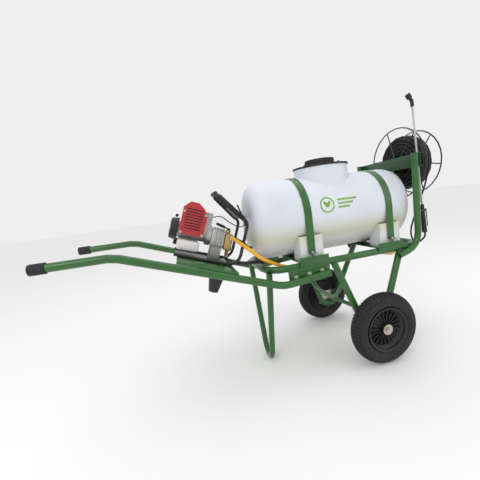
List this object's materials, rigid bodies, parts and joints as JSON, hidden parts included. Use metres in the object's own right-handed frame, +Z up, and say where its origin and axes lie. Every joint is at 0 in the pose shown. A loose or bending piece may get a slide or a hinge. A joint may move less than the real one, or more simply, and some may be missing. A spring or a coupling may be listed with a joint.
{
  "type": "wheeled sprayer cart",
  "caption": "Two-wheeled tubular barrow carrying a strapped liquid tank, a petrol engine with piston pump, and a hose reel with spray gun.",
  "frame": {"origin": "on the ground, at the middle of the cart's footprint", "axes": "+X from the handle grips towards the wheels and the hose reel, +Y to the side away from the spray gun, +Z up"},
  "size_m": [2.1565, 0.718, 1.3878],
  "materials": {
    "green_paint": "satin",
    "black_paint": "satin",
    "tank_plastic": "satin",
    "fuel_tank_plastic": "satin",
    "black_plastic": "satin",
    "red_plastic": "gloss",
    "tyre_rubber": "matte",
    "grip_rubber": "matte",
    "black_hose": "satin",
    "yellow_hose": "satin",
    "cast_aluminium": "satin",
    "pump_brass": "satin",
    "zinc_steel": "satin"
  },
  "bodies": {
    "chassis": {"loop_rear": "green_paint", "loop_front": "green_paint", "rail_near": "green_paint", "rail_far": "green_paint", "fork_near": "green_paint", "fork_far": "green_paint", "hoop": "green_paint", "cross_brace": "green_paint", "stand": "green_paint", "bolt_plate_near": "green_paint", "bolt_plate_far": "green_paint", "handle_near": "green_paint", "handle_far": "green_paint", "grip_near": "grip_rubber", "grip_far": "grip_rubber", "post_near": "green_paint", "post_far": "green_paint", "reel_beam": "green_paint", "saddle_rear": "green_paint", "saddle_front": "green_paint", "tank": "tank_plastic", "neck_ring": "black_plastic", "strap_rear": "green_paint", "strap_front": "green_paint", "axle_near": "zinc_steel", "axle_far": "zinc_steel", "reel_bracket": "zinc_steel", "gun_handle": "black_plastic", "lance_tube": "cast_aluminium", "nozzle": "black_plastic", "platform": "green_paint", "strainer_bowl": "black_plastic", "carry_frame": "black_paint", "recoil_starter": "black_plastic", "engine_block": "cast_aluminium", "engine_cover": "red_plastic", "fuel_tank": "fuel_tank_plastic", "gearbox": "cast_aluminium", "pump_head": "pump_brass", "delivery_hose": "yellow_hose", "suction_hose": "black_hose", "bypass_hose": "black_hose", "throttle_cable": "black_hose", "spray_hose": "black_hose"},
    "wheel_near": {"tyre_near": "tyre_rubber", "rim_near": "black_plastic"},
    "wheel_far": {"tyre_far": "tyre_rubber", "rim_far": "black_plastic"},
    "reel": {"reel_drum": "black_paint", "reel_ring_inner": "black_paint", "reel_ring_outer": "black_paint", "hose_pack": "black_hose"},
    "crank_grip": {"crank_knob": "black_plastic"},
    "lid": {"tank_lid": "black_plastic", "lid_vent": "red_plastic"},
    "trigger": {"gun_trigger": "black_plastic"},
    "throttle": {"throttle_lever": "black_plastic"},
    "pressure_valve": {"pressure_lever": "black_plastic"},
    "filler_cap": {"fuel_cap": "black_plastic"},
    "pull_handle": {"starter_handle": "black_plastic"}
  },
  "joints": [
    {"name": "wheel_near_spin", "type": "hinge", "parent": "chassis", "child": "wheel_near", "pos_m": [0.42, -0.315, 0.185], "axis": [0, 1, 0], "continuous": true},
    {"name": "wheel_far_spin", "type": "hinge", "parent": "chassis", "child": "wheel_far", "pos_m": [0.42, 0.315, 0.185], "axis": [0, 1, 0], "continuous": true},
    {"name": "reel_spin", "type": "hinge", "parent": "chassis", "child": "reel", "pos_m": [0.9, 0, 1.025], "axis": [1, 0, 0], "continuous": true},
    {"name": "crank_grip_spin", "type": "hinge", "parent": "reel", "child": "crank_grip", "pos_m": [1.04, 0.11413, 0.98792], "axis": [1, 0, 0], "continuous": true},
    {"name": "lid_lift", "type": "slide", "parent": "chassis", "child": "lid", "axis": [0, 0, 1], "range_m": [0, 0.08]},
    {"name": "trigger_pull", "type": "hinge", "parent": "chassis", "child": "trigger", "pos_m": [0.8375, -0.20213, 0.74376], "axis": [0, 0.9981, -0.0611], "range_deg": [0, 5], "stiffness_Nm_per_rad": 0.3, "springref_deg": -8.59},
    {"name": "throttle_turn", "type": "hinge", "parent": "chassis", "child": "throttle", "pos_m": [-0.19159, -0.128, 0.79714], "axis": [0, 1, 0], "range_deg": [-40, 20]},
    {"name": "pressure_turn", "type": "hinge", "parent": "chassis", "child": "pressure_valve", "pos_m": [-0.2612, -0.02, 0.77723], "axis": [0.3501, 0, 0.9367], "range_deg": [-15, 40]},
    {"name": "filler_cap_turn", "type": "hinge", "parent": "chassis", "child": "filler_cap", "pos_m": [-0.5467, 0.052, 0.7526], "axis": [-0.9367, 0, 0.3501], "continuous": true},
    {"name": "starter_pull", "type": "slide", "parent": "chassis", "child": "pull_handle", "axis": [0.3501, 0, 0.9367], "range_m": [0, 0.45], "stiffness_N_per_m": 20, "springref_m": -0.02}
  ]
}
